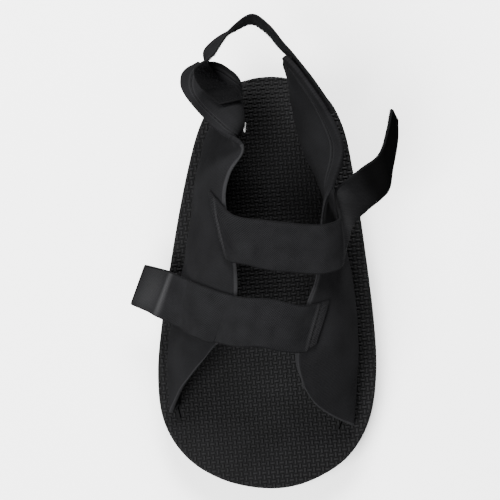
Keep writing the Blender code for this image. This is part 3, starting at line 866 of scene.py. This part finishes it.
# Its rows and columns stand closer near the back and the rim, where the hem is
ROW_SHARES = np.concatenate([np.linspace(0, 0.93, 130, endpoint=False), np.linspace(0.93, 1, 26)])
COLUMN_SHARES = np.concatenate([np.linspace(0, 0.8, 46, endpoint=False), np.linspace(0.8, 1, 46)])
LEFT_CREASES = (
    ((4, 8), (34, 14), 3.0, 0.9),
    ((10, 15), (44, 22), 4.0, -0.7),
    ((136, 22), (97, 66), 3.2, 0.6),
    ((130, 12), (88, 52), 3.4, -0.5),
    ((60, 20), (95, 40), 7.0, -0.5),
    ((40, 52), (75, 60), 6.0, 0.5),
)
RIGHT_CREASES = (
    ((62, 18), (92, 58), 5.0, 0.7),
    ((70, 12), (100, 50), 5.0, -0.6),
    ((96, 30), (122, 50), 4.5, 0.6),
    ((20, 14), (60, 24), 6.0, -0.5),
    ((120, 18), (160, 46), 6.0, 0.6),
    ((126, 50), (170, 58), 4.0, -0.4),
    ((30, 40), (58, 66), 6.0, 0.4),
)
# The ear's upper back corner is rounded off from this share of the rows, by this share of the height
CORNER_STARTS = 0.95
CORNER_DROP = 0.10
# The turned hem: its width in mm, how far it and the roll of cloth beside it rise, how deep the groove between
# them is, and how many mm past the hem the roll lies
BAND_WIDTH = 5.4
HEM_RISE = 0.35 * MM
ROLL_RISE = 0.30 * MM
GROOVE_DEPTH = 0.35 * MM
ROLL_FROM_HEM = 1.2
# Shares of the rows at which the hem and the covered rim start, for the left panel (-1) and the right one (1)
BAND_STARTS = {-1: 0.67, 1: 0.55}
BOUND_STARTS = {-1: 0.61, 1: 0.38}
# Where the rim is not hemmed its two faces are drawn together by this much
PINCH = 0.7 * MM


def cut_to_shape(grid):
    """The panel's grid with points set closer at the rim and back, and the ear's back corner rounded off."""
    rows, columns = grid.shape[:2]
    sections = [spread(grid[:, j], np.arange(rows), ROW_SHARES * (rows - 1)) for j in range(columns)]
    sections = np.stack(sections, axis=1)
    made = []
    for section, row in zip(sections, ROW_SHARES):
        share = max((row - CORNER_STARTS) / (1 - CORNER_STARTS), 0)
        top = 1 - CORNER_DROP * (1 - math.sqrt(1 - share**2))
        made.append(spread(section, np.arange(columns), COLUMN_SHARES * top * (columns - 1)))
    return np.array(made)


def ring_round(value, centre, width):
    """1 where the value is at the centre, fading to 0 over that width on both sides."""
    return np.exp(-(((value - centre) / width) ** 2))


def make_panel(name, side, middle, creases):
    """One panel with its creases, the turned hem round its ear and the stitches in that hem."""
    rows, columns = middle.shape[:2]
    along = np.repeat(ROW_SHARES[:, None] * PANEL_LONG, columns, axis=1)
    across = np.repeat(COLUMN_SHARES[None, :] * PANEL_TALL, rows, axis=0)
    face = -side
    heights = (creased(along, across, creases) + uneven(along, across)) * soft_step(0.0, 14.0, across)
    middle = middle + face * surface_normals(middle) * heights[..., None]

    up_reach = lengths_along(middle, 1)
    from_rim = (up_reach[:, -1:] - up_reach) / MM
    back_reach = lengths_along(middle, 0)
    from_back = (back_reach[-1:] - back_reach) / MM
    inside = np.where(across > 0.45 * PANEL_TALL, np.minimum(from_rim, from_back), from_rim)
    ear = soft_step(BAND_STARTS[side] - 0.04, BAND_STARTS[side] + 0.04, along / PANEL_LONG)
    roll = BAND_WIDTH + ROLL_FROM_HEM
    raised = HEM_RISE * (1 - soft_step(BAND_WIDTH - 0.7, BAND_WIDTH - 0.1, inside))
    raised += ROLL_RISE * ring_round(inside, roll, 0.7)
    raised -= GROOVE_DEPTH * ring_round(inside, BAND_WIDTH, 0.5)
    pinch = -PINCH * (1 - soft_step(0.0, 2.0, inside)) * (1 - ear)
    fuller = [pinch, pinch]
    fuller[0 if side < 0 else 1] = raised * ear + pinch
    rub = 0.2 * ear * (ring_round(inside, BAND_WIDTH - 0.9, 0.4) + ring_round(inside, roll, 0.4))
    bound = soft_step(BOUND_STARTS[side] - 0.02, BOUND_STARTS[side] + 0.02, along / PANEL_LONG)
    rub += 0.4 * (1 - soft_step(0.3, 1.2, inside)) * (1 - bound)

    feet = []
    for section in middle[:, 0]:
        here = along_of(section[1])
        low = (section[0], section[1], outsole_top(here) - WALL / 2 + 0.2 * MM)
        feet.append([low, (section[0], section[1], footbed_top(here))])
    whole = np.concatenate([np.array(feet), middle], axis=1)
    padded = [np.concatenate([np.zeros((rows, 2)), part], axis=1) for part in fuller]
    rub = np.concatenate([np.zeros((rows, 2)), rub], axis=1)
    flat = np.stack([whole[..., 1], lengths_along(whole, 1)], axis=2)
    mesh = layer_mesh(name, whole, WALL, flat, padded, rub, BOUND_STARTS[side])
    piece = finish_piece(name, mesh, "upper", [panel_cloth, panel_cloth, cut_edge])

    normals = face * surface_normals(middle)
    surface = middle + normals * (WALL / 2 + 0.05 * MM)
    line = []
    for i in range(int(BAND_STARTS[side] * rows), rows):
        if from_back[i, -1] > BAND_WIDTH:
            line.append((i, nearest(from_rim[i], BAND_WIDTH)))
    for j in range(line[-1][1], int(0.5 * columns), -1):
        line.append((nearest(from_back[:, j], BAND_WIDTH), j))
    path = smoothed([surface[i, j] for i, j in line])
    ways = smoothed([normals[i, j] for i, j in line])
    lines = stitches_along(path, ways, 2.2 * MM, 3.4 * MM, 0.05 * MM)
    return piece, middle, sew(name + "_hem_stitches", lines)


THREAD_THICKNESS = 0.5 * MM
SMOOTHING_PASSES = 6


def sew(name, lines):
    return finish_piece(name, capsule_row(name, lines, THREAD_THICKNESS), None, [sewing_thread])


def smoothed(path):
    """A path with its small steps evened out."""
    path = np.array(path)
    for _ in range(SMOOTHING_PASSES):
        path[1:-1] = (path[:-2] + 2 * path[1:-1] + path[2:]) / 4
    return path


left_grid, right_grid = panel_grid(-1), panel_grid(1)
left_panel, left_middle, left_hem = make_panel("left_panel", -1, cut_to_shape(left_grid), LEFT_CREASES)
right_panel, right_middle, right_hem = make_panel("right_panel", 1, cut_to_shape(right_grid), RIGHT_CREASES)


def make_web():
    """The stretch of the upper that lies between the two soles, from slit to slit."""
    rows = []
    for left, right in zip(left_grid[::4, 0], right_grid[::4, 0]):
        row = []
        for share in np.linspace(0, 1, 9):
            x, y = left[0] + share * (right[0] - left[0]), left[1] + share * (right[1] - left[1])
            row.append((x, y, outsole_top(along_of(y)) - WALL / 2))
        rows.append(row)
    rows = np.array(rows)
    return layer_mesh("web", rows, WALL - 0.2 * MM, rows[..., :2].copy())


web = finish_piece("web", make_web(), "upper", [panel_cloth, panel_cloth, cut_edge])


# Straps

# The painted shade on a strap's end comes on over this many mm
PAINTED_SHADE_BLENDS = 16


def panel_row(grid, ends, lift):
    """Points across a strap that lies on a panel, between two (across, up) places and lift off its middle."""
    row = []
    for share in np.linspace(0, 1, STRAP_POINTS):
        across = ends[0][0] + share * (ends[1][0] - ends[0][0])
        up = ends[0][1] + share * (ends[1][1] - ends[0][1])
        point, normal = grid_point(grid, across, up)
        row.append(point + lift * normal)
    return row


def free_row(along, side, up, heading, tilt):
    """Points across a strap that hangs free. heading and tilt are those of the way across it, in degrees."""
    turn, lean = math.radians(heading), math.radians(tilt)
    width = np.array((math.cos(lean) * math.cos(turn), math.cos(lean) * math.sin(turn), math.sin(lean)))
    middle = free_point(along, side, up)
    return [middle + share * STRAP_WIDTH * width for share in np.linspace(-0.5, 0.5, STRAP_POINTS)]


def between(ends, after, share):
    return [tuple(a + share * (b - a) for a, b in zip(one, two)) for one, two in zip(ends, after)]


def strap_surface(stretches):
    """The strap's middle layer through its stretches; those with a grid lie on that panel with a lift."""
    controls = []
    for grid, lift, table in stretches:
        for row in table:
            controls.append(free_row(*row) if grid is None else panel_row(grid, row, lift))
    rows = smooth_rows(controls, STRAP_STEPS)
    first = 0
    for grid, lift, table in stretches:
        for i in range(len(table) - 1):
            for step in range(1, STRAP_STEPS):
                if grid is not None:
                    ends = between(table[i], table[i + 1], step / STRAP_STEPS)
                    rows[(first + i) * STRAP_STEPS + step] = panel_row(grid, ends, lift)
        first += len(table)
    return rows


def make_strap(name, stretches, creases, painted_highlights, sides, replaced, painted_shade_from=None):
    """A tape with selvages, creases and painted highlights. creases and the painted highlights are in mm along
    and across it.

    Past the place given last, in mm along, its face is painted darker as painted shade where it turns away from
    the light; its mark is then below zero.
    """
    middle = strap_surface(stretches)
    along = np.repeat(lengths_along(middle, 0).mean(axis=1)[:, None], STRAP_POINTS, axis=1) / MM
    across = np.repeat(np.linspace(0, STRAP_WIDTH / MM, STRAP_POINTS)[None, :], len(middle), axis=0)
    height = creased(along, across, creases) + 0.6 * uneven(along, across)
    middle = middle + surface_normals(middle) * height[..., None]
    edge = np.minimum(across, STRAP_WIDTH / MM - across)
    selvage = 0.10 * MM * (1 - soft_step(1.2, 1.9, edge)) - 0.18 * MM * (1 - soft_step(0, 0.9, edge))
    # Painted highlights: pale lines on the folds and paler patches where the tape faces the light
    wear_and_painted_light = np.clip(creased(along, across, painted_highlights) / MM, 0, 1)
    # Painted shade: the colour darkens from this place on, where the tape turns away from the light
    if painted_shade_from is not None:
        wear_and_painted_light = wear_and_painted_light - soft_step(painted_shade_from, painted_shade_from + PAINTED_SHADE_BLENDS, along)
    flat = np.stack([along * MM, across * MM], axis=2)
    mesh = layer_mesh(name, middle, STRAP_THICKNESS, flat, (selvage, selvage), wear_and_painted_light)
    return finish_piece(name, mesh, replaced, sides), middle


def tape_spot(middle, face):
    """A function from mm along and across a tape to the point and normal on that face of it."""
    normals = face * surface_normals(middle)
    reach = lengths_along(middle, 0).mean(axis=1) / MM
    surface = middle + normals * STRAP_THICKNESS / 2

    def spot(along, across):
        row = np.interp(along, reach, np.arange(len(reach)))
        column = across / (STRAP_WIDTH / MM) * (STRAP_POINTS - 1)
        i = min(int(row), len(reach) - 2)
        j = min(max(int(column), 0), STRAP_POINTS - 2)
        a, b = row - i, column - j
        point, normal = (
            (1 - a) * (1 - b) * part[i, j] + a * (1 - b) * part[i + 1, j]
            + (1 - a) * b * part[i, j + 1] + a * b * part[i + 1, j + 1]
            for part in (surface, normals)
        )
        return point, normal / np.linalg.norm(normal)

    return spot


def seam(spot, turns, length, pitch):
    """Stitches in a row through the given places of a surface."""
    path, ways = [], []
    for start, end in zip(turns, turns[1:]):
        for share in np.linspace(0, 1, 24):
            point, normal = spot(*(a + share * (b - a) for a, b in zip(start, end)))
            path.append(point + normal * 0.12 * MM)
            ways.append(normal)
    return stitches_along(path, ways, length, pitch, 0.0)


def zigzag(spot, start, end, wide, count):
    """Stitches that run from side to side between two places of a surface."""
    made = []
    for k in range(count):
        corners = []
        for step in (k, k + 1):
            along, across = (a + step / count * (b - a) for a, b in zip(start, end))
            corners.append((along + (wide / 2 if step % 2 else -wide / 2), across))
        (near, normal), (far, _) = spot(*corners[0]), spot(*corners[1])
        made.append((near + normal * 0.1 * MM, far + normal * 0.1 * MM, normal))
    return made


seat = (WALL + STRAP_THICKNESS) / 2
stitched, laid = seat + STITCH_GAP, seat + LAY_GAP
instep, instep_middle = make_strap(
    "instep_tape",
    ((left_grid, -stitched, INSTEP_STITCHED_LEFT), (None, 0, INSTEP_OVER_THE_FOOT + INSTEP_FREE_END)),
    (
        ((5.8, -2), (2.2, 24), 0.9, -0.75),
        ((4.0, 3), (1.6, 18), 0.55, 0.55),
        ((2.6, 3), (1.2, 18), 0.5, 0.3),
        ((100, 4), (82, 30), 2.2, -0.7),
        ((38, 2), (46, 26), 8, 0.45),
        ((62, 0), (66, 27), 9, -0.4),
        ((126, 0), (128, 27), 5, -0.5),
        ((150, 0), (150, 27), 6, 0.5),
    ),
    # Painted highlights: pale lines on the folds and paler patches where the tape faces the light
    (
        ((6.0, -6), (2.0, 30), 0.8, 0.15),
        ((101, -4), (81, 34), 1.5, 0.2),
        ((109, -4), (106, 31), 6, 0.45),
        ((160, 26.5), (176, 26.5), 2.0, 0.4),
    ),
    [strap_tape, strap_tape, tape_edge],
    "instep_strap",
    # Past 116 mm the free end is painted darker as painted shade, where it turns away from the light
    painted_shade_from=116,
)
forefoot, forefoot_middle = make_strap(
    "forefoot_tape",
    (
        (right_grid, stitched, FOREFOOT_STITCHED_RIGHT),
        (None, 0, FOREFOOT_OVER_THE_FOOT),
        (left_grid, -laid, FOREFOOT_OVER_THE_LEFT),
        (None, 0, FOREFOOT_FREE_TAB),
    ),
    (
        ((7.0, -4), (6.6, 31), 0.8, 0.7),
        ((4.8, -4), (4.6, 31), 0.9, -0.35),
        ((40, 0), (36, 27), 4.5, -0.8),
        ((50, 2), (48, 25), 6, 0.5),
        ((66, 0), (64, 27), 8, 0.4),
        ((110, -4), (110, 31), 1.6, 0.8),
        ((118, 3), (121, 22), 5, -0.4),
    ),
    # Painted highlights: pale lines on the folds and a paler patch on the tab that faces the light
    (((7.0, -6), (6.6, 33), 0.7, 0.12), ((110, -6), (110, 33), 1.6, 0.5), ((120, -6), (120, 33), 7, 0.3)),
    [strap_tape, strap_tape, tape_edge],
    "forefoot_strap",
)
heel, heel_middle = make_strap(
    "heel_tape",
    ((left_grid, laid, HEEL_PRESSED_LEFT), (None, 0, HEEL_LOOP), (right_grid, stitched, HEEL_STITCHED_RIGHT)),
    (((30, 0), (34, 27), 5, 0.5), ((88, 0), (92, 27), 6, -0.4)),
    (),
    [strap_tape, pile_side, tape_edge],
    "heel_strap",
)

PATCH_THICKNESS = 0.6 * MM


def make_patch():
    """Hook tape on the left ear, with a narrow strip of it showing past the heel strap's end."""
    rows = []
    for share in np.linspace(-0.14, 1.0, 25):
        ends = between(*HEEL_PRESSED_LEFT, share)
        inset = between(ends, ends[::-1], 0.06)
        rows.append(panel_row(left_grid, inset, (WALL + PATCH_THICKNESS) / 2 + 0.05 * MM))
    rows = np.array(rows)
    flat = np.stack([lengths_along(rows, 0), lengths_along(rows, 1)], axis=2)
    return layer_mesh("hook_patch", rows, PATCH_THICKNESS, flat)


finish_piece("hook_patch", make_patch(), None, [hook_tape] * 3)

instep_top = tape_spot(instep_middle, -1)
forefoot_top = tape_spot(forefoot_middle, 1)
heel_inside = tape_spot(heel_middle, -1)
instep_stitches = sew(
    "instep_stitches", seam(instep_top, ((3.4, 1.0), (1.2, 22.0)), 1.9 * MM, 2.6 * MM))
forefoot_stitches = sew(
    "forefoot_stitches",
    seam(forefoot_top, ((5.6, 1.2), (5.4, 25.0)), 1.8 * MM, 2.4 * MM)
    + zigzag(forefoot_top, (2.7, 2.5), (3.2, 22.5), 2.6, 12),
)


# Loop pile: short fibres that stand off a strap's face and fray its edges

HAIR_SIDES = 3
# Each ring of a hair: its share of the height and of the width. A hair bends by this share of its height
HAIR_RINGS = ((-0.1, 1.0), (0.55, 0.9), (1.0, 0.25))
HAIR_BEND = 0.35


def pile_hairs(name, spot, spans, count, height, seed):
    """Short tapering fibres. Each span gives (along from, along to, across from, across to)."""
    draw = random.Random(seed)
    points, faces = [], []
    for _ in range(count):
        a0, a1, b0, b1 = draw.choice(spans)
        place, normal = spot(draw.uniform(a0, a1), draw.uniform(b0, b1))
        lean = np.array([draw.gauss(0, 1) for _ in range(3)])
        lean /= np.linalg.norm(lean)
        way = normal + 0.9 * lean
        way /= np.linalg.norm(way)
        side = np.cross(way, lean)
        side /= max(np.linalg.norm(side), 1e-6)
        over = np.cross(way, side)
        tall, wide = height * draw.uniform(0.5, 1.2), draw.uniform(0.05, 0.10) * MM
        faces += tube_faces(len(points), len(HAIR_RINGS), HAIR_SIDES)
        for share, fullness in HAIR_RINGS:
            centre = place + way * share * tall + over * tall * HAIR_BEND * max(share, 0) ** 2
            for k in range(HAIR_SIDES):
                turn = 2 * math.pi * k / HAIR_SIDES
                points.append(centre + wide * fullness * (math.cos(turn) * side + math.sin(turn) * over))
    return mesh_of(name, points, faces)


heel_spans = ((0, 133, 0, 26.5), (0, 133, 0.0, 26.5), (20, 125, 25.0, 27.0), (20, 125, 26.0, 27.0))
heel_hairs = pile_hairs("heel_pile", heel_inside, heel_spans, 9000, 0.9 * MM, 7)
heel_pile = finish_piece("heel_pile", heel_hairs, None, [pile_fibre])
instep_under = tape_spot(instep_middle, 1)
tip_spans = ((168, 176.5, 0, 26.5), (120, 176, 25.6, 26.8), (90, 176, 1, 25.5))
tip_hairs = pile_hairs("instep_pile", instep_under, tip_spans, 3500, 0.8 * MM, 11)
instep_pile = finish_piece("instep_pile", tip_hairs, None, [pile_fibre])


# Small things: lint on the panels and the blank edge of a sewn-in tag

# How far lint and the tag's foot lie off the cloth
ON_THE_NAP = 0.1 * MM


def panel_spot(middle, face):
    """A function from places on a panel, as in its creases, to the point and normal on that face of it."""
    normals = face * surface_normals(middle)

    def spot(along, across):
        i = nearest(ROW_SHARES * PANEL_LONG, along)
        j = nearest(COLUMN_SHARES * PANEL_TALL, across)
        return middle[i, j] + normals[i, j] * (WALL / 2 + ON_THE_NAP), normals[i, j]

    return spot


right_inside = panel_spot(right_middle, -1)
left_inside = panel_spot(left_middle, 1)
LINT_RIGHT = ((30.4, 57.5), (28.0, 60.0), (14.6, 71.2), (6.1, 42.5), (23.1, 55.0), (52.0, 66.0), (75.0, 61.0))
LINT_LEFT = ((12.0, 50.0), (25.0, 60.0), (98.0, 52.0))


def lint():
    """Short flecks that lie on the panels, each turned its own way."""
    draw = random.Random(3)
    lines = []
    for spot, places in ((right_inside, LINT_RIGHT), (left_inside, LINT_LEFT)):
        for place in places:
            centre, normal = spot(*place)
            way = np.cross(normal, [draw.gauss(0, 1) for _ in range(3)])
            way *= draw.uniform(0.3, 0.9) * MM / np.linalg.norm(way)
            lines.append((centre - way, centre + way, normal))
    return capsule_row("lint", lines, 0.4 * MM)


finish_piece("lint", lint(), None, [lint_fibre])


def tag_edge():
    """A blank ribbon tag caught in the seam behind the left ear, seen on edge."""
    start, _ = left_inside(138.5, 48.0)
    rows = []
    for share in np.linspace(0, 1, 8):
        foot = start + np.array((-0.7, 0.3 - 5.2 * share, -1.0 * share)) * MM
        tip = foot + np.array((0.9 - 0.3 * share, 0.2, -3.0)) * MM
        rows.append([foot + k / 5 * (tip - foot) for k in range(6)])
    rows = np.array(rows)
    return layer_mesh("tag_edge", rows, 0.35 * MM, rows[..., :2].copy())


finish_piece("tag_edge", tag_edge(), None, [tag_ribbon] * 3)

# Camera, lights and floor

LOOK_POINT = Vector((-12.0, 18.56, 20.0)) * MM
CAMERA_ELEVATION = math.radians(85)
CAMERA_ROLL = math.radians(-0.2)
CAMERA_DISTANCE = 1.3
CAMERA_LENS = 160.29
CAMERA_SENSOR = 36

camera_data = bpy.data.cameras.new("camera")
camera_data.lens = CAMERA_LENS
camera_data.sensor_width = CAMERA_SENSOR
camera_data.clip_end = 10
camera = placed("camera", camera_data)
back = Vector((0, -math.cos(CAMERA_ELEVATION), math.sin(CAMERA_ELEVATION)))
level_up = Vector((0, math.sin(CAMERA_ELEVATION), math.cos(CAMERA_ELEVATION)))
level_right = Vector((1, 0, 0))
right = math.cos(CAMERA_ROLL) * level_right - math.sin(CAMERA_ROLL) * level_up
up = math.sin(CAMERA_ROLL) * level_right + math.cos(CAMERA_ROLL) * level_up
camera.matrix_world = Matrix.Translation(LOOK_POINT + CAMERA_DISTANCE * back) @ Matrix(
    (right, up, back)).transposed().to_4x4()
bpy.context.scene.camera = camera


def soft_box(name, place, size, power):
    """A large soft lamp that looks at the shoe."""
    light = bpy.data.lights.new(name, "AREA")
    light.shape = "RECTANGLE"
    light.size, light.size_y = size
    light.energy = power
    thing = placed(name, light)
    thing.location = place
    thing.rotation_euler = (Vector((0, 0, 0)) - Vector(place)).to_track_quat("-Z", "Y").to_euler()


soft_box("key_soft_box", (-0.55, -0.55, 1.2), (0.9, 0.9), 66)
soft_box("heel_soft_box", (0.0, 1.05, 0.85), (0.7, 0.7), 68)

world = bpy.data.worlds.new("studio")
world.use_nodes = True
background = world.node_tree.nodes["Background"]
background.inputs["Color"].default_value = (1.0, 1.0, 1.0, 1.0)
background.inputs["Strength"].default_value = 0.36
bpy.context.scene.world = world

floor_mesh = bpy.data.meshes.new("floor")
floor_mesh.from_pydata([(-3, -3, 0), (3, -3, 0), (3, 3, 0), (-3, 3, 0)], [], [(0, 1, 2, 3)])
floor = placed("floor", floor_mesh)
paper, _, paper_shader = new_material("pale_backdrop_paper", 0.9)
paper_shader.inputs["Base Color"].default_value = colour("#f4f4f4")
paper_shader.inputs["Emission Color"].default_value = colour("#ffffff")
paper_shader.inputs["Emission Strength"].default_value = 0.5
floor_mesh.materials.append(paper)
